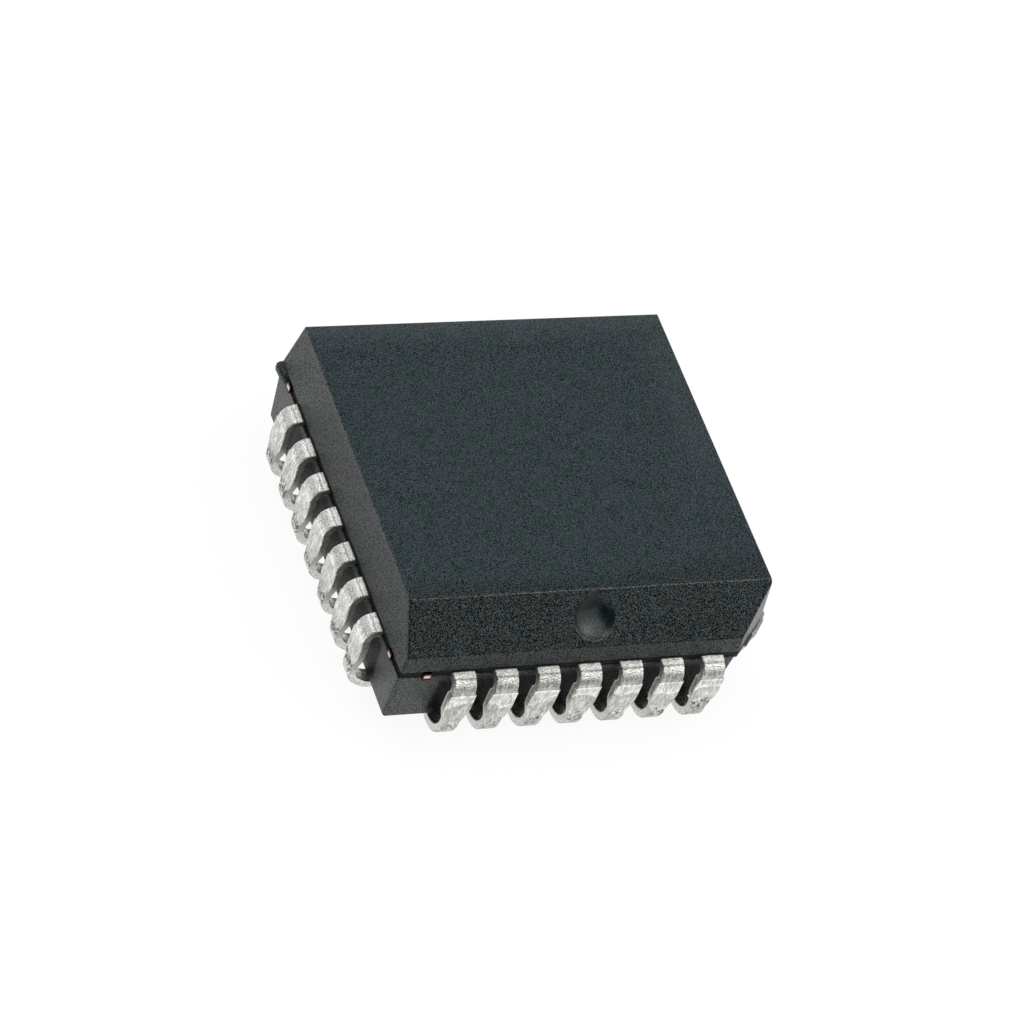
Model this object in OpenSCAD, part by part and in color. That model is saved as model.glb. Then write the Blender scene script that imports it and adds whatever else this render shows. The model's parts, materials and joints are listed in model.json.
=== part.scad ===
// Surface-mount chip in a square moulded package with J-shaped leads on all four sides.
// Origin: on the seating plane, below the centre of the package. +Z is up.
// The bevelled side, which carries the round pin 1 dimple, faces -Y.
// Lead 1 is the middle lead of that side. The others follow counter-clockwise seen from above.

/* [Moulded body] */
// Width of the square body between opposite sides, at its widest level
body_w = 11.43; // [11.35:0.01:11.6]
// Height of the flat top above the seating plane
body_top = 4.33; // [4.25:0.01:4.55]
// Gap between the seating plane and the underside
standoff = 0.58; // [0.52:0.01:0.65]
// Lean of the walls above the leads, in degrees
upper_draft = 6; // [3:0.5:7]
// Lean of the walls below the leads, in degrees
lower_draft = 4.7; // [3:0.1:7]
// How far the lower half stands in from the upper half
lower_inset = 0.025; // [0.01:0.005:0.05]
// Height of the upper half's lower edge above the leads' flat top
band_rise = 0.1; // [0.06:0.01:0.2]
// Depth of the recessed band that the leads come out of
band_depth = 0.07; // [0.04:0.01:0.1]
// Break along the upper half's three plain upright corners
upper_break = 0.1; // [0.05:0.01:0.2]
// Break along the lower half's three plain upright corners
lower_break = 0.18; // [0.05:0.01:0.3]

/* [Index marks] */
// Length that the slanted index corner takes off each side
index_cut = 1.05; // [0.95:0.01:1.2]
// Height of the bevel above the front side
bevel_drop = 1.09; // [0.95:0.01:1.2]
// Distance that the bevel runs in from the front wall
bevel_run = 1.19; // [1:0.01:1.25]
// Diameter of the dimple in the bevel
dimple_d = 1.25; // [1:0.01:1.35]
// Depth of the dimple, square to the bevel
dimple_depth = 0.22; // [0.1:0.01:0.3]

/* [Mould marks] */
// Width of the stub left where the moulding compound ran in
gate_w = 0.5; // [0.3:0.05:0.8]
// Height of that stub
gate_h = 0.4; // [0.3:0.01:0.5]
// How far the stub stands out from the corner
gate_out = 0.2; // [0.1:0.01:0.3]
// Width of the underside pocket over each lead tip
pocket_w = 0.85; // [0.7:0.01:0.95]
// Length of that pocket, in from the side
pocket_l = 0.95; // [0.9:0.01:1.05]
// Depth of that pocket
pocket_depth = 0.15; // [0.08:0.01:0.25]
// Plain rim left outside the pockets
pocket_rim = 0.3; // [0.25:0.01:0.35]
// Diameter of the ejector mark in the middle of the underside
ejector_d = 2.4; // [1.5:0.1:3.5]
// Depth of the ejector mark
ejector_depth = 0.06; // [0.03:0.01:0.12]

/* [Leads] */
// Distance between neighbouring leads
lead_pitch = 1.27; // [1.26:0.005:1.28]
// How far the leads' outer faces stand out from the body's widest level
lead_out = 0.475; // [0.45:0.005:0.5]
// Thickness of the leadframe
lead_t = 0.254; // [0.2:0.002:0.27]
// Height of the leads' flat top above the seating plane
lead_top = 2.63; // [2.55:0.01:2.7]
// Outer radius of the upper bend
bend_r = 0.46; // [0.4:0.01:0.5]
// Outer radius of the curl that stands on the board
curl_r = 0.855; // [0.82:0.005:0.88]
// Sweep of the curl, in degrees from the upright leg
curl_sweep = 137; // [125:1:140]
// Width of a lead where it leaves the body
root_w = 0.67; // [0.6:0.01:0.75]
// Width of a lead at its widest, below the bend
wide_w = 0.8; // [0.76:0.01:0.9]
// Width of the curl
foot_w = 0.47; // [0.4:0.01:0.55]
// Height at which a lead steps out to its widest
step_z = 2.11; // [2:0.01:2.15]
// Height at which a lead starts to narrow
taper_top = 1.42; // [1.3:0.01:1.5]
// Height at which a lead reaches the curl's width
taper_end = 0.91; // [0.88:0.01:1.1]

/* [Leadframe inside the body] */
// Distance in from the body's widest level to where a finger starts to fan in
neck_in = 1.215; // [1.1:0.005:1.3]
// Finger spacing there
neck_pitch = 1.22; // [1.18:0.01:1.23]
// Finger width there
neck_w = 0.42; // [0.35:0.01:0.45]
// Length over which a finger widens from there to its full root width
neck_l = 0.45; // [0.3:0.01:0.5]
// Diameter of the hole that locks a finger into the body
lock_d = 0.3; // [0.2:0.01:0.32]
// Solid metal between the widening and the locking hole
lock_land = 0.15; // [0.1:0.01:0.17]
// Gap between the die pad and the finger tips
tip_gap = 0.25; // [0.2:0.01:0.35]
// Spacing of the finger tips
tip_pitch = 0.66; // [0.64:0.01:0.68]
// Width of the finger tips
tip_w = 0.36; // [0.3:0.01:0.4]
// Width of the square die pad
pad_w = 5; // [4.6:0.1:5.1]
// How far the die pad lies below the fingers
pad_drop = 0.2; // [0.15:0.01:0.25]
// Width of the bars that hold the die pad to the frame
bar_w = 0.3; // [0.2:0.01:0.4]
// Distance from the die pad's corner to the start of a bar's step up to the fingers' level
step_start = 0.15; // [0.1:0.01:0.25]
// Length of that step
step_l = 0.3; // [0.2:0.01:0.4]
// Width of the bar ends that show in the sides
tie_w = 0.25; // [0.2:0.01:0.3]
// Distance of the bar ends from the neighbouring side's widest level
tie_in = 0.835; // [0.8:0.005:0.9]
// How far the cut bar ends stand out from the body's widest level
tie_out = 0.03; // [0.01:0.005:0.04]

/* [Chip and wires] */
// Width of the square silicon die
die_w = 2.8; // [2.2:0.1:3.2]
// Thickness of the die
die_t = 0.38; // [0.3:0.01:0.45]
// Thickness of the glue under the die
glue_t = 0.025; // [0.02:0.005:0.05]
// Border of glue that shows around the die
glue_rim = 0.1; // [0.05:0.01:0.2]
// Diameter of the bond wires
wire_d = 0.03; // [0.025:0.001:0.04]
// Distance of the bond pads in from the die's edge
bond_inset = 0.12; // [0.1:0.01:0.2]
// Spacing of the bond pads along the die's edge
bond_pitch = 0.34; // [0.28:0.01:0.34]
// Height of the upright start of a wire above the die
wire_rise = 0.1; // [0.08:0.01:0.14]
// Radius of a wire's turn at the top of its loop
loop_r = 0.08; // [0.06:0.01:0.1]
// Diameter of the ball bond on the die
ball_d = 0.08; // [0.06:0.005:0.09]
// Height of the ball bond
ball_h = 0.03; // [0.02:0.005:0.04]
// Diameter of the flattened bond on the finger
stitch_d = 0.09; // [0.07:0.005:0.1]
// Height of the flattened bond
stitch_h = 0.012; // [0.01:0.001:0.016]
// Distance of the flattened bonds behind the finger tips
stitch_inset = 0.15; // [0.1:0.01:0.2]

/* [Hidden] */
$fn = 48;
side_leads = 7;
lead_count = 4 * side_leads;
half_w = body_w / 2;
lead_bottom = lead_top - lead_t;
band_top = lead_top + band_rise;
lower_half_w = half_w - lower_inset;
top_half_w = half_w - (body_top - band_top) * tan(upper_draft);
bottom_half_w = lower_half_w - (lead_bottom - standoff) * tan(lower_draft);
bevel_z = body_top - bevel_drop;
bevel_wall = half_w - (bevel_z - band_top) * tan(upper_draft);
bevel_length = norm([bevel_run, bevel_drop]);
bevel_tilt = atan2(bevel_drop, bevel_run);
dimple_r = (pow(dimple_d / 2, 2) + pow(dimple_depth, 2)) / (2 * dimple_depth);
lead_reach = half_w + lead_out;
bend_s = lead_reach - bend_r;
curl_s = lead_reach - curl_r;
pad_top = lead_top - pad_drop;
neck_reach = half_w - neck_in;
root_reach = neck_reach + neck_l;
lock_reach = root_reach + lock_land + lock_d / 2;
tip_reach = pad_w / 2 + tip_gap;
tie_x = half_w - tie_in;
step_from = pad_w / sqrt(2) + step_start;
step_to = step_from + step_l;
die_bottom = pad_top + glue_t;
die_top = die_bottom + die_t;
bond_s = die_w / 2 - bond_inset;
stitch_s = tip_reach + stitch_inset;
// Overshoot of every cutting shape past the face that it cuts
over = 0.5;

function lead_name(pin) = str("lead_", pin < 10 ? "0" : "", pin);

// Place of a pin counted from the left end of the front side, counter-clockwise
function place(pin) = (pin + (side_leads - 1) / 2 - 1) % lead_count;

// Turn of the side that a pin belongs to, from the +X side
function side_turn(pin) = -90 + 90 * floor(place(pin) / side_leads);

// Number of a pin along its side, from the middle one
function along(pin) = place(pin) % side_leads - (side_leads - 1) / 2;

// Offset of a finger's centre line along its side, at the wire bond
function stitch_t(i) =
    i * (tip_pitch + (neck_pitch - tip_pitch) * stitch_inset / (neck_reach - tip_reach));

// Point p turned about the centre by a degrees
function turned(p, a) = [p[0] * cos(a) - p[1] * sin(a), p[0] * sin(a) + p[1] * cos(a)];

// Everything outside one upright corner, beyond a plane that leans in as it goes up
module beyond_corner(turn, wide, cut, z, lean) {
    rotate([0, 0, turn])
        translate([(2 * wide - cut) / sqrt(2), 0, z])
            rotate([0, -lean, 0])
                translate([0, -body_w, -body_w])
                    cube([body_w, 2 * body_w, 2 * body_w]);
}

// Block above the leads, with leaning walls and the bevel over the front side
module upper_half() {
    corner_lean = atan(sqrt(2) * tan(upper_draft));
    difference() {
        intersection() {
            rotate([90, 0, 0])
                linear_extrude(height = 2 * body_w, center = true)
                    polygon([
                        [-half_w, band_top],
                        [half_w, band_top],
                        [top_half_w, body_top],
                        [-top_half_w, body_top]
                    ]);
            rotate([90, 0, 90])
                linear_extrude(height = 2 * body_w, center = true)
                    polygon([
                        [-half_w, band_top],
                        [half_w, band_top],
                        [top_half_w, body_top],
                        [bevel_run - bevel_wall, body_top],
                        [-bevel_wall, bevel_z]
                    ]);
        }
        for (turn = [45, 135, 225])
            beyond_corner(turn, half_w, upper_break, band_top, corner_lean);
        beyond_corner(-45, half_w, index_cut, band_top, upper_draft);
    }
}

// Block below the recessed band, with walls that lean in as they go down
module lower_half() {
    corner_lean = -atan(sqrt(2) * tan(lower_draft));
    difference() {
        intersection_for (turn = [0, 90])
            rotate([90, 0, turn])
                linear_extrude(height = 2 * body_w, center = true)
                    polygon([
                        [-bottom_half_w, standoff],
                        [bottom_half_w, standoff],
                        [lower_half_w, lead_bottom],
                        [-lower_half_w, lead_bottom]
                    ]);
        for (turn = [45, 135, 225])
            beyond_corner(turn, lower_half_w, lower_break, lead_bottom, corner_lean);
        beyond_corner(-45, lower_half_w, index_cut, lead_bottom, -lower_draft);
    }
}

// Recessed band between the two halves
module band() {
    core_w = body_w - 2 * band_depth;
    difference() {
        translate([-core_w / 2, -core_w / 2, lead_bottom])
            cube([core_w, core_w, band_top - lead_bottom]);
        for (turn = [45, 135, 225])
            beyond_corner(turn, core_w / 2, upper_break, band_top, 0);
        beyond_corner(-45, half_w, index_cut, band_top, 0);
    }
}

// Stub of moulding compound at the back left corner
module gate_stub() {
    corner = (2 * lower_half_w - lower_break) / sqrt(2);
    rotate([0, 0, 135])
        translate([corner - over, -gate_w / 2, lead_top - gate_h])
            cube([over + gate_out, gate_w, gate_h]);
}

// Ball whose cap is the dimple in the middle of the bevel
module dimple_ball() {
    translate([0, -bevel_wall, bevel_z])
        rotate([bevel_tilt, 0, 0])
            translate([0, bevel_length / 2, dimple_r - dimple_depth])
                sphere(r = dimple_r);
}

module underside_marks() {
    for (pin = [1 : lead_count])
        rotate([0, 0, side_turn(pin)])
            translate([
                bottom_half_w - pocket_rim - pocket_l,
                along(pin) * lead_pitch - pocket_w / 2,
                standoff - over
            ])
                cube([pocket_l, pocket_w, over + pocket_depth]);
    translate([0, 0, standoff - over])
        cylinder(h = over + ejector_depth, d = ejector_d);
}

module moulded_body() {
    color([0.19, 0.21, 0.23])
        difference() {
            union() {
                upper_half();
                band();
                lower_half();
                gate_stub();
            }
            dimple_ball();
            underside_marks();
            for (pin = [1 : lead_count])
                lead(pin);
            die_pad();
            die_attach();
            die();
            bond_wires();
        }
}

// Flat part of one lead, from its tip beside the die pad to the bend outside
module finger(i) {
    difference() {
        translate([0, 0, lead_bottom])
            linear_extrude(height = lead_t)
                polygon([
                    [tip_reach, i * tip_pitch - tip_w / 2],
                    [neck_reach, i * neck_pitch - neck_w / 2],
                    [root_reach, i * lead_pitch - root_w / 2],
                    [bend_s, i * lead_pitch - root_w / 2],
                    [bend_s, i * lead_pitch + root_w / 2],
                    [root_reach, i * lead_pitch + root_w / 2],
                    [neck_reach, i * neck_pitch + neck_w / 2],
                    [tip_reach, i * tip_pitch + tip_w / 2]
                ]);
        translate([lock_reach, i * lead_pitch, lead_bottom - over])
            cylinder(h = lead_t + 2 * over, d = lock_d);
    }
}

// Arc of the lead strip, seen from the side, swept upwards from the level of its centre
module strip_arc(r, sweep) {
    translate([0, wide_w / 2, 0])
        rotate([90, 0, 0])
            rotate_extrude(angle = sweep)
                translate([r - lead_t, 0])
                    square([lead_t, wide_w]);
}

// Bend, leg and curl of one lead, trimmed to the outline seen from outside
module j_form() {
    intersection() {
        union() {
            translate([bend_s, 0, lead_top - bend_r])
                strip_arc(bend_r, 90);
            translate([lead_reach - lead_t, -wide_w / 2, curl_r])
                cube([lead_t, wide_w, lead_top - bend_r - curl_r]);
            translate([curl_s, 0, curl_r])
                rotate([0, curl_sweep, 0])
                    strip_arc(curl_r, curl_sweep);
        }
        rotate([90, 0, 90])
            linear_extrude(height = 2 * lead_reach)
                polygon([
                    [-root_w / 2, lead_top + over],
                    [-root_w / 2, step_z],
                    [-wide_w / 2, step_z],
                    [-wide_w / 2, taper_top],
                    [-foot_w / 2, taper_end],
                    [-foot_w / 2, -over],
                    [foot_w / 2, -over],
                    [foot_w / 2, taper_end],
                    [wide_w / 2, taper_top],
                    [wide_w / 2, step_z],
                    [root_w / 2, step_z],
                    [root_w / 2, lead_top + over]
                ]);
    }
}

module lead(pin) {
    color([0.8, 0.8, 0.77])
        rotate([0, 0, side_turn(pin)])
            union() {
                finger(along(pin));
                translate([0, along(pin) * lead_pitch, 0])
                    j_form();
            }
}

// Square pad with the start of a bar at each corner
module pad_plate() {
    side = pad_w / 2;
    corner = [
        [side, side - bar_w / sqrt(2)],
        turned([step_from, -bar_w / 2], 45),
        turned([step_from, bar_w / 2], 45),
        [side - bar_w / sqrt(2), side]
    ];
    translate([0, 0, pad_top - lead_t])
        linear_extrude(height = lead_t)
            polygon([for (turn = [0 : 90 : 270]) for (p = corner) turned(p, turn)]);
}

// Sloping length of a bar, from the pad's level up to the leads' level
module bar_slope() {
    translate([0, bar_w / 2, 0])
        rotate([90, 0, 0])
            linear_extrude(height = bar_w)
                polygon([
                    [step_from, pad_top - lead_t],
                    [step_to, lead_bottom],
                    [step_to, lead_top],
                    [step_from, pad_top]
                ]);
}

// Outer length of a bar at a plain corner, with the two ends that leave the body
module forked_end() {
    inner = tie_x - tie_w / 2;
    outer = tie_x + tie_w / 2;
    branch = inner + bar_w / sqrt(2);
    translate([0, 0, lead_bottom])
        linear_extrude(height = lead_t)
            polygon([
                turned([step_to, -bar_w / 2], 45),
                [branch, inner],
                [half_w + tie_out, inner],
                [half_w + tie_out, outer],
                [outer, outer],
                [outer, half_w + tie_out],
                [inner, half_w + tie_out],
                [inner, branch],
                turned([step_to, bar_w / 2], 45)
            ]);
}

// Outer length of the bar at the index corner, with one end in the slanted face
module straight_end() {
    index_reach = (body_w - index_cut) / sqrt(2) + tie_out;
    translate([step_to, -bar_w / 2, lead_bottom])
        cube([index_reach - step_to, bar_w, lead_t]);
}

module die_pad() {
    color([0.72, 0.45, 0.3]) {
        pad_plate();
        for (turn = [-45, 45, 135, 225])
            rotate([0, 0, turn])
                bar_slope();
        for (turn = [0, 90, 180])
            rotate([0, 0, turn])
                forked_end();
        rotate([0, 0, -45])
            straight_end();
    }
}

module die_attach() {
    glue_w = die_w + 2 * glue_rim;
    color([0.75, 0.75, 0.72])
        translate([-glue_w / 2, -glue_w / 2, pad_top])
            cube([glue_w, glue_w, glue_t]);
}

module die() {
    color([0.35, 0.36, 0.42])
        translate([-die_w / 2, -die_w / 2, die_bottom])
            cube([die_w, die_w, die_t]);
}

// One wire in its own upright plane, from the ball bond on the die at x = 0 to the finger at x = run
module wire(run) {
    turn_z = die_top + wire_rise;
    fall = turn_z - lead_top;
    slope = atan2(fall, run - loop_r) + asin(loop_r / norm([fall, run - loop_r]));
    tail = sqrt(pow(fall, 2) + pow(run - loop_r, 2) - pow(loop_r, 2));
    difference() {
        union() {
            translate([0, 0, die_top])
                cylinder(h = ball_h, d = ball_d);
            translate([0, 0, die_top])
                cylinder(h = wire_rise, d = wire_d);
            translate([loop_r, 0, turn_z])
                rotate([0, slope - 90, 0])
                    rotate([90, 0, 0])
                        rotate_extrude(angle = 90 + slope)
                            translate([loop_r, 0])
                                circle(d = wire_d);
            translate([loop_r, 0, turn_z])
                rotate([0, slope, 0])
                    translate([0, 0, loop_r])
                        rotate([0, 90, 0])
                            cylinder(h = tail + wire_d, d = wire_d);
            translate([run, 0, lead_top])
                cylinder(h = stitch_h, d = stitch_d);
        }
        translate([run - over, -over / 2, lead_top - over])
            cube([2 * over, over, over]);
    }
}

module bond_wires() {
    color([0.9, 0.72, 0.3])
        for (pin = [1 : lead_count]) {
            i = along(pin);
            start = [bond_s, i * bond_pitch];
            run = [stitch_s, stitch_t(i)] - start;
            rotate([0, 0, side_turn(pin)])
                translate(start)
                    rotate([0, 0, atan2(run[1], run[0])])
                        wire(norm(run));
        }
}

moulded_body();
for (pin = [1 : lead_count])
    lead(pin);
die_pad();
die_attach();
die();
bond_wires();
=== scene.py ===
"""Looks of a square chip package with J-shaped leads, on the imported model's frame.

The pieces are drawn in millimetres in the model's frame and scaled to metres when they are made.
"""

import json
import math

import bmesh
import bpy
from mathutils import Matrix, Vector

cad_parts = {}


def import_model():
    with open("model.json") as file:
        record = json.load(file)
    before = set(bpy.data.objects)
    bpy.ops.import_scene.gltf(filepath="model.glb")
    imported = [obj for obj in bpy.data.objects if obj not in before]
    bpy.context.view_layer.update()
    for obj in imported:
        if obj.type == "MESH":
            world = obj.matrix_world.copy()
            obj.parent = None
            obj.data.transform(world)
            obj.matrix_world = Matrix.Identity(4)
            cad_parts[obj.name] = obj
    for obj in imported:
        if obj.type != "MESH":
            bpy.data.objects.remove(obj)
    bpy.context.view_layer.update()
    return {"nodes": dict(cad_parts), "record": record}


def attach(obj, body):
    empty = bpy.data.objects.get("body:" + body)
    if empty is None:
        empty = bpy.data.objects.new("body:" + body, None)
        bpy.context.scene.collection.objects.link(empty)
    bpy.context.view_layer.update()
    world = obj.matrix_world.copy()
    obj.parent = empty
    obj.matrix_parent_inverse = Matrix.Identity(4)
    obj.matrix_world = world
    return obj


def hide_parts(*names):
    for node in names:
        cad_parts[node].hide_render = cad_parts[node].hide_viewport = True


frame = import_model()

MM = 0.001

# Camera, from the photograph: its aim in the model's frame, in millimetres, and its angles
CAMERA_AIM = Vector((-0.368, -0.014, 2.399))
CAMERA_DISTANCE = 151.16
CAMERA_AZIMUTH = -36.184
CAMERA_ELEVATION = 44.713
CAMERA_ROLL = 24.237
CAMERA_LENS = 188.255
CAMERA_SENSOR = 36.0
CAMERA_CLIP_METRES = (0.01, 5.0)

# Moulded body, in millimetres and degrees
BODY_HALF = 5.715
BODY_TOP = 4.33
STANDOFF = 0.58
UPPER_DRAFT = 6.0
LOWER_DRAFT = 4.7
LOWER_INSET = 0.025
BAND_RISE = 0.05
BAND_DROP = 0.18
BAND_DEPTH = 0.05
BAND_SINK = 0.05
SIDE_TURNS = (0, 90, 180, 270)
INDEX_TURN = -45
INDEX_CUT = 1.1
BEVEL_DROP = 1.09
BEVEL_RUN = 1.19
DIMPLE_D = 1.25
DIMPLE_DEPTH = 0.22
LOWER_SHIFT = -0.03
GATE_TOP = 2.61
GATE_H = 0.27
GATE_EDGE = 0.04
GATE_PLAN = (
    (-5.5, 4.95), (-5.73, 5.0), (-5.84, 5.35), (-5.87, 5.72), (-5.81, 5.8), (-5.55, 5.83), (-5.2, 5.6)
)
POCKET_W = 0.85
POCKET_L = 0.95
POCKET_DEPTH = 0.15
POCKET_RIM = 0.3
EJECTOR_D = 2.4
EJECTOR_DEPTH = 0.06
CUTTER_BELOW = 1.0

# Rounding of the body's edges, but not of those flatter than the least angle. The last four values say
# how near an edge is to the left wall, the front wall, the rim and the underside
CRISP_EDGE = 0.035
SOFT_EDGE = 0.1
BOTTOM_EDGE = 0.07
LOWER_CORNER = 0.18
LEAST_ANGLE = 12
UPRIGHT_RISE = 0.9
NEAR_LEFT = 0.3
NEAR_FRONT = 1.4
NEAR_RIM = 0.1
TOUCHING = 0.001

# Leads
SIDE_LEADS = 7
MIDDLE_LEAD = (SIDE_LEADS - 1) // 2
LEAD_PITCH = 1.27
LEAD_REACH = 6.19
LEAD_T = 0.254
LEAD_TOP = 2.63
BEND_R = 0.46
CURL_R = 0.855
CURL_SWEEP = 137.0
BEND_STEPS = 20
CURL_STEPS = 34
ROOT_W = 0.67
WIDE_W = 0.8
FOOT_W = 0.47
STEP_Z = 2.11
TAPER_TOP = 1.42
TAPER_END = 0.91
# Heights of the step's slant and of the taper's eased ends
STEP_SLANT = 0.012
TAPER_EASE = 0.06
FOOT_EASE = 0.03

# A lead's cross-section: rounding of its edges, the flat border beside it, and the faces that are cut
LEAD_EDGE = 0.03
LEAD_BORDER = 0.02
EDGE_STEPS = 3
CORNER_POINTS = EDGE_STEPS + 3
CUT_SIDES = [corner * CORNER_POINTS + EDGE_STEPS + 1 + k for corner in (0, 2) for k in range(3)]
# Maps of the strip's faces, and the shift of the patterns from lead to lead
PLAIN_MAP = "strip"
PATTERN_MAP = "rolled"
PATTERN_SHIFT = 7.3

# Fingers inside the body
NECK_REACH = 4.5
NECK_PITCH = 1.22
NECK_W = 0.42
ROOT_REACH = 4.95
TIP_REACH = 2.75
TIP_PITCH = 0.66
TIP_W = 0.36
FINGER_REACHES = (TIP_REACH, NECK_REACH, ROOT_REACH, BODY_HALF - BAND_DEPTH)
# Width and distance from lead to lead at each reach, and width at each height of the leg
FINGER_WIDTHS = ((TIP_REACH, TIP_W), (NECK_REACH, NECK_W), (ROOT_REACH, ROOT_W))
FINGER_PITCHES = ((TIP_REACH, TIP_PITCH), (NECK_REACH, NECK_PITCH), (ROOT_REACH, LEAD_PITCH))
LEG_WIDTHS = ((TAPER_END, FOOT_W), (TAPER_TOP, WIDE_W))

# Heights and slopes that follow from the sizes
BAND_TOP = LEAD_TOP + BAND_RISE
LOWER_TOP = LEAD_TOP - BAND_DROP
LOWER_HALF = BODY_HALF - LOWER_INSET
UPPER_SLOPE = math.tan(math.radians(UPPER_DRAFT))
LOWER_SLOPE = math.tan(math.radians(LOWER_DRAFT))
BEVEL_Z = BODY_TOP - BEVEL_DROP
BEVEL_WALL = BODY_HALF - (BEVEL_Z - BAND_TOP) * UPPER_SLOPE
BOTTOM_HALF = LOWER_HALF - (LOWER_TOP - STANDOFF) * LOWER_SLOPE
DIMPLE_AT = Vector((0, BEVEL_RUN / 2 - BEVEL_WALL, BEVEL_Z + BEVEL_DROP / 2))

# Brightness along a lead: (length from where it leaves the body, brightness). The creases are marks of
# the bending tool; besides them it holds painted highlights and reflections in its bright and grey
# bands, and painted shade at its dark start beside the body. The front and back leads have their own
# stops, as the light falls on them differently.
STRIP_LENGTH = 4.2
CREASE_AT = 0.3
BEND_END = 0.6
FRONT_BACK_FINISH_AND_LIGHT = (
    (0.0, 0.05), (0.06, 0.03), (0.085, 1.2), (0.15, 0.95), (0.24, 0.9), (0.262, 0.5), (0.278, 0.42),
    (0.288, 0.1), (0.302, 0.1), (0.312, 0.42), (0.34, 0.54), (0.38, 0.78), (0.42, 0.7), (0.47, 0.95),
    (0.53, 0.95), (0.6, 0.87), (0.68, 0.64), (0.83, 0.58), (0.845, 1.3), (0.93, 0.88), (1.0, 0.87),
    (1.22, 1.1), (1.25, 0.72), (1.29, 0.66), (1.7, 0.71), (1.95, 0.86), (2.05, 0.62), (2.3, 0.6),
    (2.55, 0.44), (2.75, 0.41), (2.9, 0.5), (4.2, 0.6),
)
LEFT_RIGHT_FINISH_AND_LIGHT = (
    (0.0, 0.05), (0.07, 0.03), (0.1, 1.1), (0.16, 1.33), (0.22, 1.3), (0.235, 0.43), (0.26, 0.8),
    (0.275, 1.13), (0.325, 1.35), (0.36, 1.95), (0.385, 1.3), (0.42, 1.5), (0.48, 1.5), (0.56, 0.78),
    (0.74, 0.83), (0.8, 1.1), (0.88, 0.82), (1.3, 0.79), (1.5, 0.74), (1.7, 0.67), (2.05, 0.7),
    (2.2, 0.9), (2.35, 0.78), (2.6, 0.48), (3.0, 0.95), (4.2, 0.95),
)
# Brightness along the cut sides, in the same form; the dark start beside the body is painted shade
SHEARED_FINISH_AND_SHADE = ((0.0, 0.2), (0.3, 0.27), (0.6, 0.47), (2.0, 0.6), (2.4, 1.0), (4.2, 1.0))
BURNISHED_FINISH_AND_SHADE = ((0.0, 0.2), (0.25, 0.4), (0.5, 0.75), (0.8, 1.0), (4.2, 1.0))

# Stretches of a noise pattern's values over which a look changes
GENTLE = (0.3, 0.7)
MEDIUM = (0.35, 0.65)

# Patterns of the epoxy: (scale per metre, detail, roughness). The turn is in radians
GRAIN = (31000.0, 1.0, 0.5)
SPECKS = (9000.0, 2.0, 0.6)
PATCHES = (2500.0, 2.0, 0.6)
RUBS = (18000.0, 1.0, 0.5)
BAND_GRAIN = (12000.0, 3.0, 0.6)
GRAIN_TURN = (0.5, 0.7, 0.3)

# Parts of a face's normal between which one kind of face gives way to another
LEVEL = (0.93, 0.98)
FACING_RIGHT = (0.5, 0.6)
FACING_FRONT = (-0.6, -0.5)
FACING_LEFT = (-0.9, -0.8)
LEANING = (-0.2, -0.12)
# The same, with soft ends: for the bevel, and for the rounded rims over it and over the left wall
BEVEL_LEAN = (-0.95, -0.35, 0.2)
BEVEL_RISE = (0.35, 0.95, 0.2)
FRONT_RIM = (0.78, 0.99, 0.04)
LEFT_RIM = (0.25, 0.99, 0.04)

# Colours of the epoxy: (where its pattern is low, where it is high, low value, high value)
# The sky-tinted colours paint the sky's bluer light reflected by the top, over random patches
SKY_TINTED_EPOXY = ((0.0018, 0.0165, 0.0175), (0.003, 0.0142, 0.0242), 0.38, 0.62)
PLAIN_EPOXY = ((0.008, 0.012, 0.0105), (0.0045, 0.0133, 0.0143), 0.4, 0.6)
# Near-black colours of the parting band: painted shade of its recess
SHADED_BAND_EPOXY = ((0.003, 0.003, 0.003), (0.024, 0.025, 0.025), 0.38, 0.62)
GRAIN_SHADE = ((0.3, 0.3, 0.3), (1.7, 1.7, 1.7), 0.35, 0.65)
# Near-black of the painted shade between the leads and on the fold, also used for the torn corner
SHADED_AND_STAINED = (0.002, 0.002, 0.002)

# On the top, on the bevel and elsewhere: share of the painted sky reflection, contrast and level of the
# shine
SKY_TINT_SHARE = (1.0, 0.15, 0.0)
SHINE_CONTRAST = (0.88, 1.35, 1.42)
SHINE_LEVEL = (0.34, 0.203, 0.582)
# Amounts that follow a pattern, in the same form, and plain ones
GRAIN_SHINE = (-0.38, 0.38, 0.38, 0.62)
PATCH_SHINE = (-0.03, 0.03, 0.35, 0.65)
DIMPLE_SHINE = 0.48
WORN_SHINE = 0.5
# Shine left under the painted shade and on the torn corner
SHADE_AND_STAIN_SHINE = 0.12
GRAIN_ROUGH = (0.28, 0.38, 0.3, 0.7)
GRAIN_BUMP = 0.02
BAND_ROUGH = (0.6, 0.85, 0.3, 0.7)
# Low shine of the parting band, part of its painted shade
SHADED_BAND_SHINE = 0.2
BAND_BUMP = 0.03

# Share of the grain in the dimple, and the parts of its radius where the grain returns
DIMPLE_GRAIN = 0.3
DIMPLE_RIM = (0.82, 1.05)

# Painted shade on the walls between the leads, where the leads shade them: half its length along a side,
# from where it fades to its end, and its heights. All heights here are (from, to, soft ends)
LEADS_SPAN = (4.3, 4.45)
PAINTED_SHADE_HEIGHT = (0.6, LOWER_TOP + 0.02, 0.35)

# Torn epoxy on the index corner, and painted shade on the fold under the bevel: heights and speckled
# strength
TORN_HEIGHT = (2.3, 2.98, 0.03)
TORN_SPECKS = (0.95, 0.5, 0.4, 0.6)
FOLD_HEIGHT = (BEVEL_Z - 0.01, BEVEL_Z + 0.02, 0.02)
FOLD_SHADE = 0.7
FOLD_SPECKS = (0.4, 1.0, 0.4, 0.6)

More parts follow.
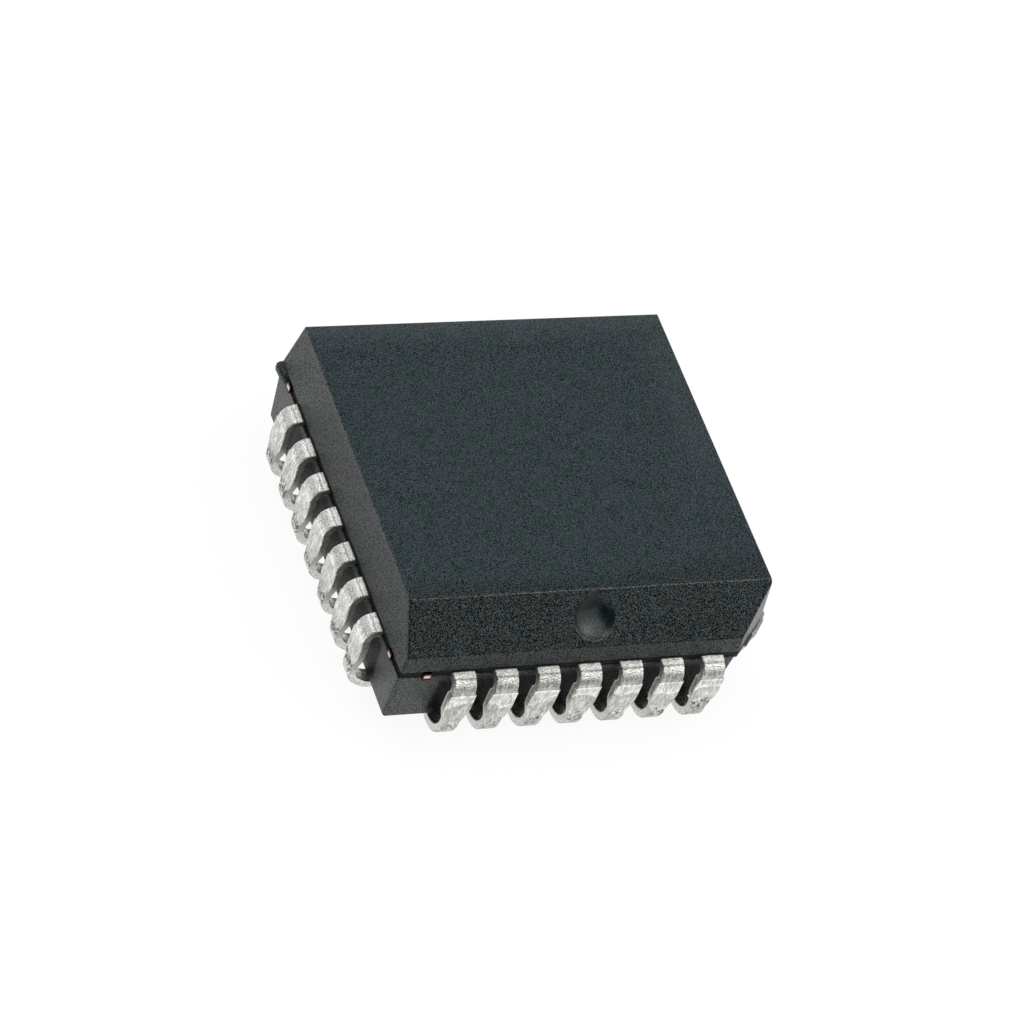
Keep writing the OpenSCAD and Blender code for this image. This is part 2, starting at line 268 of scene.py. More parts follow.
# Darker border of the top beside the bevel: its Y at the left and the right, and the X of these ends
DULL_EDGE = (-3.85, -3.45, 2.6, 3.4)
DULL_RAGGED = 0.25
DULL_FADE = (0.0, 0.35)
DULL_SKY_TINT = 0.15
DULL_SHINE = 0.1
# Paler borders of the top: where they begin, and what they add to the shine
BACK_BORDER = (4.6, 5.5)
BACK_SHINE = 0.2
RIGHT_BORDER = (4.2, 4.9)
RIGHT_BACK = (-2.5, 1.0)
RIGHT_SHINE = 0.09

# Worn specks: on the upper edge of the left wall, from no wear to full wear, and on the top's rims
CHIPPED_FROM = (4.1, 4.3)
CHIPPED_WEAR = 0.6
CHIPPED_SPECKS = (0.45, 0.6)
RUBBED_SPECKS = (0.53, 0.6)

# Patterns of the leads: (stretch across and along the strip, detail, roughness, turn in radians)
STREAKS = ((13.0, 4.0), 3.0, 0.65, 0.0)
LINES = ((10.0, 22.0), 2.0, 0.5, 0.0)
CRYSTALS = ((23.0, 20.0), 2.0, 0.65, 0.0)
BLOTCHES = ((4.0, 2.0), 2.0, 0.5, 0.0)
SCUFFS = ((12.0, 7.0), 3.0, 0.6, 0.5)
SPARKLE = ((36.0, 32.0), 1.0, 0.5, 0.0)
WANDER = ((1.6, 0.5), 1.0, 0.5, 0.0)
SHEARED = ((14.0, 9.0), 3.0, 0.6, 0.0)
# Slow pattern that gives each lead its own value: (scale per millimetre, detail, roughness)
EACH_LEAD = (0.13, 0.0, 0.5)

# How far the finish wanders along the strip, and where the wandering sets in
LEAD_WANDER = 0.14
LEAD_WANDER_FROM = (1.0, 1.9)
WIDTH_WANDER = 0.16
WIDTH_WANDER_FROM = (1.0, 1.2)
BLOTCH_WANDER = 0.006
CREASE_WANDER = 0.01

# Shades of the leads, in the form of the epoxy's colours
MARK_SHADE = ((0.56, 0.56, 0.53), (1.06, 1.06, 1.02), 0.36, 0.62)
CRYSTAL_SHADE = ((0.48, 0.48, 0.48), (1.12, 1.12, 1.12), 0.33, 0.5)
SPARKLE_SHADE = ((0.72, 0.72, 0.71), (1.28, 1.28, 1.26), 0.36, 0.64)
BLOTCH_SHADE = ((0.78, 0.78, 0.77), (1.12, 1.12, 1.12), 0.35, 0.65)
LEAD_SHADE = ((0.9, 0.9, 0.9), (1.08, 1.08, 1.08), 0.3, 0.7)
SHEARED_SHADE = ((0.5, 0.5, 0.48), (0.95, 0.95, 0.91), 0.35, 0.65)
# Their strength on the bend, on the leg, and the lengths where it changes
CRYSTAL_SHARE = (1.0, 0.7, 0.6, 0.9)
SPARKLE_SHARE = (1.0, 0.5, 0.4, 0.8)
BEND_FADE = 0.15

# Gouges above the curl: noise value under which they form, softness, colour and lengths
FRONT_BACK_GOUGES = 0.475
LEFT_RIGHT_GOUGES = 0.53
GOUGE_SOFT = 0.05
GOUGE_SPREAD = 0.03
GOUGE_SHADE = (0.16, 0.16, 0.15)
CLEAN_SHADE = (1.0, 1.0, 1.0)
GOUGE_LENGTHS = (1.75, 2.42, 0.2)

# The dull flat between the body and the crease, and the roughness and grain of the tin
FLAT_DULL = 0.6
FLAT_FADE = 0.06
FLAT_ROUGH = 0.4
TIN_ROUGH = (0.2, 0.34, 0.3, 0.7)
TIN_BUMP = 0.012

# Cut sides of the leads, with a bright inner rim below the bend that is partly burnished and partly
# painted highlight
RIM_FROM = (0.16, 0.18)
RIM_FADE = 0.2
RIM_COLOUR = (1.0, 1.0, 0.97)
BURNISHED_RIM_AND_HIGHLIGHT = 0.8
SIDE_METAL = (0.75, 0.2)
SIDE_ROUGH = (0.4, 0.58, 0.3, 0.7)
SIDE_BUMP = 0.01

# Cut ends of the die pad's support bars: place, soft edge, (half width, half height) and colours
BAR_AT = 4.88
BAR_Z = 2.503
BAR_SOFT = 0.04
RUST = (0.12, 0.075)
RUST_COLOUR = (0.07, 0.016, 0.01)
COPPER = (0.07, 0.03)
AROUND_BAR = (0.01, 0.009, 0.009)
INDEX_BAR = (0.11, 0.11, 0.11)

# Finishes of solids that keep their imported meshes: colour, metallic, roughness range, pattern's scale
CAD_FINISHES = {
    "bare_copper": ((0.98, 0.76, 0.66), 1.0, 0.27, 0.47, 14000.0),
    "die_glue": ((0.62, 0.62, 0.58), 0.4, 0.42, 0.62, 9000.0),
    "silicon": ((0.1, 0.11, 0.17), 0.6, 0.12, 0.32, 4000.0),
    "gold_wire": ((0.92, 0.7, 0.28), 1.0, 0.17, 0.37, 9000.0),
}
CAD_DARKEST = 0.75
CAD_BUMP = 0.01

# Surroundings: lengths in millimetres, angles in degrees, watts, and brightness where 1 is white
FLOOR_RADIUS = 400
FLOOR_PAPER = 0.8
FLOOR_ROUGH = 0.9
SHADOW_DEPTH = 0.12
LAMPS = (
    ("right_lamp", (112, -3, 128), 100, 0.02),
    ("front_lamp", (72, -112, 95), 120, 0.02),
    ("back_lamp", (-20, 60, 155), 120, 0.03),
)
AROUND = 0.8
SKY = ((0.0, 0.45), (0.15, 0.5), (0.35, 0.68), (0.7, 0.78), (1.0, 0.8))
# Cones of the surroundings that only reflections show: direction, half-angle of the whole cone and of
# its full part, and brightness there. The photographer is dark and the lamp on the right is bright.
PHOTOGRAPHER = ((-0.843, -0.524, 0.123), 73, 47, 0.03)
TRIPOD = ((0.291, -0.943, 0.164), 53, 3, 0.38)
SOFTBOX = ((0.598, -0.478, 0.643), 55, 47, 2.11)
# The floor in reflections: brightness near the part and further in front, and where it changes
NEAR_FLOOR = 1.0
FAR_FLOOR = 0.6
FAR_BETWEEN = (-5, -8)


def metres(*lengths):
    """Lengths in metres, from millimetres."""
    return [length * MM for length in lengths]


# Meshes

def placed(name, data):
    """New object in the scene."""
    made = bpy.data.objects.new(name, data)
    bpy.context.scene.collection.objects.link(made)
    return made


def new_object(name, bm):
    """An object made from a bmesh that was drawn in millimetres."""
    mesh = bpy.data.meshes.new(name)
    bm.transform(Matrix.Scale(MM, 4))
    bm.to_mesh(mesh)
    bm.free()
    return placed(name, mesh)


def plane(normal, point):
    """Half-space below a plane, as (unit outward normal, distance from the origin)."""
    n = Vector(normal).normalized()
    return n, n.dot(Vector(point))


def solid_between(planes):
    """Closed bmesh of everything that is inside all the planes."""
    reach = 4 * BODY_HALF
    bm = bmesh.new()
    bmesh.ops.create_cube(bm, size=2 * reach)
    for n, distance in planes:
        geom = bm.verts[:] + bm.edges[:] + bm.faces[:]
        cut = bmesh.ops.bisect_plane(bm, geom=geom, plane_co=n * distance, plane_no=n, clear_outer=True)
        rim = [e for e in cut["geom_cut"] if isinstance(e, bmesh.types.BMEdge)]
        bmesh.ops.contextual_create(bm, geom=rim)
    bmesh.ops.recalc_face_normals(bm, faces=bm.faces[:])
    return bm


def wall(turn, half, z, slope):
    """Plane of a wall that faces turn degrees from +X, half from the centre at height z."""
    a = math.radians(turn)
    normal = (math.cos(a), math.sin(a), slope)
    return plane(normal, (half * math.cos(a), half * math.sin(a), z))


def walls(half, square_half, z, slope):
    """Planes of the four walls, and of the slanted corner cut off a square of the other half."""
    planes = [wall(turn, half, z, slope) for turn in SIDE_TURNS]
    planes.append(wall(INDEX_TURN, (2 * square_half - INDEX_CUT) / math.sqrt(2), z, slope))
    return planes


def level_planes(low, high):
    """Planes that end a solid above and below."""
    return [plane((0, 0, 1), (0, 0, high)), plane((0, 0, -1), (0, 0, low))]


def weighted_bevel(bm, weigh, widest, name):
    """The solid with its edges rounded, each by the width that weigh(edge) gives in millimetres."""
    layers = bm.edges.layers.float
    layer = layers.get("bevel_weight_edge") or layers.new("bevel_weight_edge")
    for e in bm.edges:
        e[layer] = weigh(e) / widest
    for f in bm.faces:
        f.smooth = True
    draft = new_object(name, bm)
    bevel = draft.modifiers.new("Round", "BEVEL")
    bevel.limit_method = "WEIGHT"
    bevel.width = widest * MM
    bevel.segments = 3
    bevel.offset_type = "OFFSET"
    bevel.harden_normals = True
    return draft


def baked(source, name):
    """A plain mesh object holding what the source shows with its modifiers."""
    graph = bpy.context.evaluated_depsgraph_get()
    graph.update()
    mesh = bpy.data.meshes.new_from_object(source.evaluated_get(graph), depsgraph=graph)
    made = placed(name, mesh)
    bpy.data.objects.remove(source)
    return made


def joined(name, parts):
    """One object from several, which it replaces."""
    whole = parts[0]
    with bpy.context.temp_override(
        active_object=whole, object=whole, selected_editable_objects=parts, selected_objects=parts
    ):
        bpy.ops.object.join()
    whole.name = name
    whole.data.name = name
    return whole


def cut_by(target, cutters):
    """Takes the cutters out of the target, as exact booleans."""
    for cutter in cutters:
        step = target.modifiers.new("Cut", "BOOLEAN")
        step.operation = "DIFFERENCE"
        step.solver = "EXACT"
        step.object = cutter
    made = baked(target, target.name)
    for cutter in cutters:
        bpy.data.objects.remove(cutter)
    return made


# Moulded body

def is_flat(edge):
    """True for an edge whose two faces lie nearly in one plane."""
    return math.degrees(edge.calc_face_angle(0.0)) < LEAST_ANGLE


def is_upright(edge):
    """True for an edge that runs up a corner between two walls."""
    run = (edge.verts[1].co - edge.verts[0].co).normalized()
    return abs(run.z) > UPRIGHT_RISE


def upper_weight(edge):
    """Rounding of an upper edge: soft where the bevel meets the left wall, crisp elsewhere."""
    middle = (edge.verts[0].co + edge.verts[1].co) / 2
    if is_flat(edge):
        return 0.0
    at_left = middle.x < -BODY_HALF + NEAR_LEFT
    at_front = middle.y < -BODY_HALF + NEAR_FRONT
    if at_left and at_front and (is_upright(edge) or middle.z > BEVEL_Z):
        return SOFT_EDGE
    return CRISP_EDGE


def lower_weight(edge):
    """Rounding of a lower edge: widest up the front left corner, then up the back and at the rim."""
    middle = (edge.verts[0].co + edge.verts[1].co) / 2
    if is_flat(edge):
        return 0.0
    at_corner = is_upright(edge) and middle.xy.length > BODY_HALF
    outermost = max(abs(middle.x), abs(middle.y))
    at_rim = middle.z < STANDOFF + TOUCHING and outermost > BOTTOM_HALF - NEAR_RIM
    if at_corner and middle.y < 0 and middle.x < 0:
        return LOWER_CORNER
    if at_corner and middle.y > 0 or at_rim:
        return BOTTOM_EDGE
    return CRISP_EDGE


def carved_half(name, planes, cutters, weigh, widest):
    """Half of the body: a block between planes, cut out and then rounded."""
    carved = cut_by(new_object("carved", solid_between(planes)), cutters)
    bm = bmesh.new()
    bm.from_mesh(carved.data)
    bm.transform(Matrix.Scale(1 / MM, 4))
    bpy.data.objects.remove(carved)
    return baked(weighted_bevel(bm, weigh, widest, "rounded"), name)


def dimple_cutter():
    """Ball whose cap is the dimple in the middle of the bevel."""
    radius = ((DIMPLE_D / 2) ** 2 + DIMPLE_DEPTH ** 2) / (2 * DIMPLE_DEPTH)
    outward = Vector((0, -BEVEL_DROP, BEVEL_RUN)).normalized()
    bm = bmesh.new()
    bmesh.ops.create_uvsphere(bm, u_segments=96, v_segments=64, radius=radius)
    turn = outward.to_track_quat("Z", "Y").to_matrix().to_4x4()
    bm.transform(Matrix.Translation(DIMPLE_AT + outward * (radius - DIMPLE_DEPTH)) @ turn)
    return new_object("dimple_cutter", bm)


def upper_half():
    """Upper half with the bevelled side, the slanted corner and the dimple."""
    planes = walls(BODY_HALF, BODY_HALF, BAND_TOP, UPPER_SLOPE)
    planes.append(plane((0, -BEVEL_DROP, BEVEL_RUN), (0, -BEVEL_WALL, BEVEL_Z)))
    planes += level_planes(BAND_TOP, BODY_TOP)
    return carved_half("upper_half", planes, [dimple_cutter()], upper_weight, SOFT_EDGE)


def pocket_cutter(turn, i):
    """Block for the pocket over a lead's tip, i pitches from the middle of a side."""
    far = BOTTOM_HALF - POCKET_RIM
    low = Vector((far - POCKET_L, i * LEAD_PITCH - POCKET_W / 2, STANDOFF - CUTTER_BELOW))
    high = Vector((far, i * LEAD_PITCH + POCKET_W / 2, STANDOFF + POCKET_DEPTH))
    bm = bmesh.new()
    bmesh.ops.create_cube(bm, size=1)
    bm.transform(Matrix.Translation((high + low) / 2) @ Matrix.Diagonal((high - low).to_4d()))
    bm.transform(Matrix.Rotation(math.radians(turn), 4, "Z"))
    return new_object("pocket_cutter", bm)


def ejector_cutter():
    """Cylinder for the shallow mark that the ejector pin leaves in the underside."""
    radius = EJECTOR_D / 2
    bm = bmesh.new()
    height = 2 * CUTTER_BELOW
    bmesh.ops.create_cone(bm, cap_ends=True, segments=96, radius1=radius, radius2=radius, depth=height)
    bm.transform(Matrix.Translation((0, 0, STANDOFF + EJECTOR_DEPTH - CUTTER_BELOW)))
    return new_object("ejector_cutter", bm)


def lower_half():
    """Lower half with its pockets and ejector mark, a little out of line with the upper one."""
    planes = walls(LOWER_HALF, LOWER_HALF, LOWER_TOP, -LOWER_SLOPE)
    planes += level_planes(STANDOFF, LOWER_TOP)
    places = [i - MIDDLE_LEAD for i in range(SIDE_LEADS)]
    cutters = [pocket_cutter(turn, i) for turn in SIDE_TURNS for i in places]
    cutters.append(ejector_cutter())
    underside = joined("underside_cutters", cutters)
    made = carved_half("lower_half", planes, [underside], lower_weight, LOWER_CORNER)
    made.data.transform(Matrix.Translation((LOWER_SHIFT * MM, 0, 0)))
    return made


def band():
    """Recessed band between the two halves, sunk a little into both."""
    planes = walls(BODY_HALF - BAND_DEPTH, BODY_HALF, BAND_TOP, 0)
    planes += level_planes(LOWER_TOP - BAND_SINK, BAND_TOP + BAND_SINK)
    return new_object("band", solid_between(planes))


def gate_stub():
    """Tab of moulding compound left at the back left corner where the gate was broken off."""
    bm = bmesh.new()
    outline = bm.faces.new([bm.verts.new((x, y, GATE_TOP - GATE_H)) for x, y in GATE_PLAN])
    raised = bmesh.ops.extrude_face_region(bm, geom=[outline])["geom"]
    moved = [v for v in raised if isinstance(v, bmesh.types.BMVert)]
    bmesh.ops.translate(bm, verts=moved, vec=(0, 0, GATE_H))
    bmesh.ops.recalc_face_normals(bm, faces=bm.faces[:])
    bmesh.ops.bevel(bm, geom=bm.edges[:], offset=GATE_EDGE, segments=2, affect="EDGES")
    return new_object("gate_stub", bm)


def moulded_body():
    """The whole body as one piece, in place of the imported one."""
    epoxy = Epoxy().material
    parts = [upper_half(), lower_half(), gate_stub(), band()]
    for part in parts:
        part.data.materials.clear()
        part.data.materials.append(epoxy)
    # The band gets a darker, duller copy of the epoxy as painted shade of its recess
    parts[-1].data.materials[0] = parting_band_shade()
    body = joined("moulded_body_skin", parts)
    for f in body.data.polygons:
        f.use_smooth = True
    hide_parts("moulded_body")
    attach(body, "root")


# Leads

def lead_path():
    """Outer face of a lead from the finger's tip to the curl's: (reach, height, normal's tilt)."""
    points = [(s, LEAD_TOP, 0.0) for s in FINGER_REACHES]
    for k in range(BEND_STEPS + 1):
        a = math.radians(90 * k / BEND_STEPS)
        reach = LEAD_REACH - BEND_R + BEND_R * math.sin(a)
        points.append((reach, LEAD_TOP - BEND_R * (1 - math.cos(a)), a))
    for z in (STEP_Z + STEP_SLANT, STEP_Z - STEP_SLANT, TAPER_TOP + TAPER_EASE,
              TAPER_TOP - TAPER_EASE, TAPER_END + TAPER_EASE, TAPER_END - FOOT_EASE):
        points.append((LEAD_REACH, z, math.pi / 2))
    for k in range(CURL_STEPS + 1):
        a = math.radians(90 + CURL_SWEEP * k / CURL_STEPS)
        reach = LEAD_REACH - CURL_R + CURL_R * math.sin(a)
        points.append((reach, CURL_R + CURL_R * math.cos(a), a))
    return points


def on_lines(place, stops):
    """Value on straight lines between (place, value) stops, and level beyond them."""
    for (start, low), (end, high) in zip(stops, stops[1:]):
        if place <= end:
            return low + (high - low) * max(place - start, 0.0) / (end - start)
    return stops[-1][1]


def lead_width(s, z):
    """Width of a lead at a point of its path."""
    if z == LEAD_TOP:
        return on_lines(s, FINGER_WIDTHS)
    if z > STEP_Z:
        return ROOT_W
    return on_lines(z, LEG_WIDTHS)


def strip_section(width):
    """Cross-section of the strip as (across, depth below the outer face), with rounded edges.

    The faces that follow the points in CUT_SIDES are the strip's two cut sides.
    """
    r = LEAD_EDGE
    side = width / 2 - r
    inner = LEAD_T - r
    ring = []
    for t, d, start in ((side, r, 0), (side, inner, 90), (-side, inner, 180), (-side, r, 270)):
        before = Vector((math.cos(math.radians(start)), math.sin(math.radians(start))))
        after = Vector((-before.y, before.x))
        rounding = []
        for k in range(EDGE_STEPS + 1):
            a = math.radians(start + 90 * k / EDGE_STEPS)
            rounding.append(Vector((t + r * math.sin(a), d - r * math.cos(a))))
        ring.append(rounding[0] - before * LEAD_BORDER)
        ring.extend(rounding)
        ring.append(rounding[-1] + after * LEAD_BORDER)
    return [(point.x, point.y) for point in ring]


def strip_rings(bm, i):
    """Rings of (vertex, across, depth) along a lead, each with its length from the body's face."""
    rings = []
    run = 0.0
    last = None
    for s, z, tilt in lead_path():
        if last is not None:
            run += math.hypot(s - last[0], z - last[1])
        last = (s, z)
        outward = Vector((math.sin(tilt), 0, math.cos(tilt)))
        middle = i * on_lines(s, FINGER_PITCHES)
        ring = []
        for t, d in strip_section(lead_width(s, z)):
            corner = Vector((s, middle + t, z)) - outward * d
            ring.append((bm.verts.new(corner), t, d))
        rings.append((ring, run))
    start = rings[len(FINGER_REACHES) - 1][1]
    return [(ring, run - start) for ring, run in rings]


def map_strip(bm, face, places, pin):
    """Maps a face by its place on the strip, and again with an offset for each lead."""
    for name, shift in ((PLAIN_MAP, 0.0), (PATTERN_MAP, PATTERN_SHIFT * pin)):
        layer = bm.loops.layers.uv[name]
        for loop, (across, along) in zip(face.loops, places):
            loop[layer].uv = (across + shift, along + shift)


def lead_mesh(i, pin):
    """Swept strip of a lead of the side that faces +X, i pitches from the middle of its side."""
    bm = bmesh.new()
    for name in (PLAIN_MAP, PATTERN_MAP):
        bm.loops.layers.uv.new(name)
    rings = strip_rings(bm, i)
    for (ring, along), (after, further) in zip(rings, rings[1:]):
        for k in range(len(ring)):
            n = (k + 1) % len(ring)
            is_cut = k in CUT_SIDES
            corners = ((ring[k], along), (ring[n], along), (after[n], further), (after[k], further))
            quad = bm.faces.new([vertex for (vertex, _, _), _ in corners])
            quad.smooth = True
            quad.material_index = int(is_cut)
            places = []
            for (_, t, d), length in corners:
                across = math.copysign(d, t) if is_cut else t
                places.append((across, length))
            map_strip(bm, quad, places, pin)
    for ring, along in (rings[0], rings[-1]):
        cap = bm.faces.new([vertex for vertex, _, _ in ring])
        map_strip(bm, cap, [(t, along) for _, t, _ in ring], pin)
    bmesh.ops.recalc_face_normals(bm, faces=bm.faces[:])
    return bm


def leads():
    """The 28 leads in the order of their pins, from the middle of the front anticlockwise."""
    front_back_tin = Tin("tinned_copper_front_back", FRONT_BACK_FINISH_AND_LIGHT, FRONT_BACK_GOUGES).material
    plain = Tin("tinned_copper", LEFT_RIGHT_FINISH_AND_LIGHT, LEFT_RIGHT_GOUGES).material
    rough_sides = sheared_copper("sheared_copper", SHEARED_FINISH_AND_SHADE, 0.0)
    bright_sides = sheared_copper("sheared_copper_burnished", BURNISHED_FINISH_AND_SHADE, BURNISHED_RIM_AND_HIGHLIGHT)
    for pin in range(1, 4 * SIDE_LEADS + 1):
        place = (pin + MIDDLE_LEAD - 1) % (4 * SIDE_LEADS)
        turn = -90 + 90 * (place // SIDE_LEADS)
        bm = lead_mesh(place % SIDE_LEADS - MIDDLE_LEAD, pin)
        bm.transform(Matrix.Rotation(math.radians(turn), 4, "Z"))
        lead = new_object(f"lead_{pin:02d}_plated", bm)
        # The front and back leads get their own stops, as the light falls on them differently
        lead.data.materials.append(plain if turn in (0, 180) else front_back_tin)
        lead.data.materials.append(rough_sides if turn in (0, 180) else bright_sides)
        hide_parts(f"lead_{pin:02d}")
        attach(lead, "root")


# Node trees

def grey(level):
    """Grey as a colour of three numbers."""
    return (level, level, level)


class Nodes:
    """Short way to build a node tree."""

    def __init__(self, tree):
        self.tree = tree

    def link(self, source, target):
        """Joins an output to an input."""
        self.tree.links.new(source, target)

    def put(self, value, socket):
        """Gives an input a number, a vector, a colour or another node's output."""
        if isinstance(value, (int, float, Vector)):
            socket.default_value = value
        elif isinstance(value, tuple):
            socket.default_value = (*value, 1)
        else:
            self.link(value, socket)

    def add(self, kind, inputs=(), **settings):
        """New node with some of its settings, and with values or links for its inputs."""
        node = self.tree.nodes.new(kind)
        for name, value in settings.items():
            setattr(node, name, value)
        for name, value in dict(inputs).items():
            self.put(value, node.inputs[name])
        return node

    def split(self, vector):
        """The X, Y and Z of a vector, under these names."""
        return self.add("ShaderNodeSeparateXYZ", {0: vector}).outputs

    def noise(self, vector, scale, detail, roughness):
        """Noise pattern around 0.5."""
        inputs = {"Vector": vector, "Scale": scale, "Detail": detail, "Roughness": roughness}
        return self.add("ShaderNodeTexNoise", inputs).outputs["Fac"]

    def stretched(self, vector, scale, turn):
        """Stretched and turned coordinates."""
        inputs = {"Vector": vector, "Scale": Vector(scale), "Rotation": Vector(turn)}
        return self.add("ShaderNodeMapping", inputs).outputs["Vector"]

    def ramp(self, value, low, high, start, end, between=()):
        """Colour that goes from low to high as the value goes from start to end."""
        node = self.add("ShaderNodeValToRGB", {"Fac": value})
        ends = node.color_ramp.elements
        ends[0].position, ends[0].color = start, (*low, 1)
        ends[1].position, ends[1].color = end, (*high, 1)
        for place, colour in between:
            ends.new(place).color = (*colour, 1)
        return node.outputs["Color"]

    def grey_ramp(self, value, stops, reach=1.0):
        """Grey that follows (place, level) stops, for a value that is 1 where the place is reach."""
        (start, low), *between, (end, high) = [(place / reach, grey(level)) for place, level in stops]
        return self.ramp(value, low, high, start, end, between)

    def spread(self, value, low, high, start=0.0, end=1.0):
        """Number that goes from low to high as the value goes from start to end."""
        inputs = {"Value": value, "From Min": start, "From Max": end, "To Min": low, "To Max": high}
        return self.add("ShaderNodeMapRange", inputs).outputs["Result"]

    def above(self, value, between):
        """0 below the first of two values, 1 above the second."""
        return self.spread(value, 0.0, 1.0, *between)

    def below(self, value, between):
        """1 below the first of two values, 0 above the second."""
        return self.spread(value, 1.0, 0.0, *between)

    def window(self, value, start, end, soft):
        """1 between start and end, 0 outside, with soft edges."""
        rise = self.above(value, (start, start + soft))
        return self.times(rise, self.below(value, (end - soft, end)))

    def swing(self, pattern, amount, between):
        """Number that swings by an amount to both sides of 0."""
        return self.spread(pattern, -amount, amount, *between)

    def blend(self, factor, a, b, mode="MIX"):
        """Two colours mixed by a factor, or joined in another of the node's ways."""
        inputs = {0: factor, 6: a, 7: b}
        return self.add("ShaderNodeMix", inputs, data_type="RGBA", blend_type=mode).outputs[2]

    def shaded(self, colour, shade, factor=1.0):
        """Colour multiplied by a shade, in full or in part."""
        return self.blend(factor, colour, shade, "MULTIPLY")

    def result(self, operation, a, b=0.0):
        """Number that an operation makes of one or two numbers."""
        return self.add("ShaderNodeMath", {0: a, 1: b}, operation=operation).outputs[0]

    def plus(self, a, b):
        """a + b"""
        return self.result("ADD", a, b)

    def minus(self, a, b):
        """a - b"""
        return self.result("SUBTRACT", a, b)

    def times(self, a, b):
        """a * b"""
        return self.result("MULTIPLY", a, b)

    def larger(self, a, b):
        """The larger of two numbers."""
        return self.result("MAXIMUM", a, b)

    def smaller(self, a, b):
        """The smaller of two numbers."""
        return self.result("MINIMUM", a, b)

    def unsigned(self, a):
        """A number without its sign."""
        return self.result("ABSOLUTE", a)

    def vectors(self, operation, *operands):
        """Outputs of a node that works on one or two vectors."""
        return self.add("ShaderNodeVectorMath", enumerate(operands), operation=operation).outputs

    def any_ray(self, *kinds):
        """1 for a ray of any of the named kinds, and 0 for the rest."""
        path = self.add("ShaderNodeLightPath").outputs
        total = path[kinds[0]]
        for kind in kinds[1:]:
            total = self.larger(total, path[kind])
        return total

    def choice(self, factor, plain, other):
        """Shader that is plain where the factor is 0 and other where it is 1."""
        return self.add("ShaderNodeMixShader", {0: factor, 1: plain, 2: other}).outputs[0]

    def within_cone(self, direction, axis, outer, inner, level):
        """Factor that goes from 1 to a cone's brightness for directions inside it."""
        towards = self.vectors("DOT_PRODUCT", direction, Vector(axis).normalized())["Value"]
        sides = (math.cos(math.radians(outer)), math.cos(math.radians(inner)))
        factor = self.spread(towards, 1.0, level, *sides)
        factor.node.interpolation_type = "SMOOTHSTEP"
        return factor


class Material(Nodes):
    """Node tree of a new material, with its shader."""

    def __init__(self, name):
        self.material = bpy.data.materials.new(name)
        self.material.use_nodes = True
        super().__init__(self.material.node_tree)
        self.shader = self.tree.nodes["Principled BSDF"]

    def give(self, **looks):
        """Gives the shader's inputs, named with underscores, their values."""
        for name, value in looks.items():
            self.put(value, self.shader.inputs[name.replace("_", " ")])

    def bump(self, height, strength, distance):
        """Raises the surface with a pattern, by a distance in millimetres."""
        inputs = {"Height": height, "Strength": strength, "Distance": distance * MM}
        self.give(Normal=self.add("ShaderNodeBump", inputs).outputs["Normal"])


# Material of the body

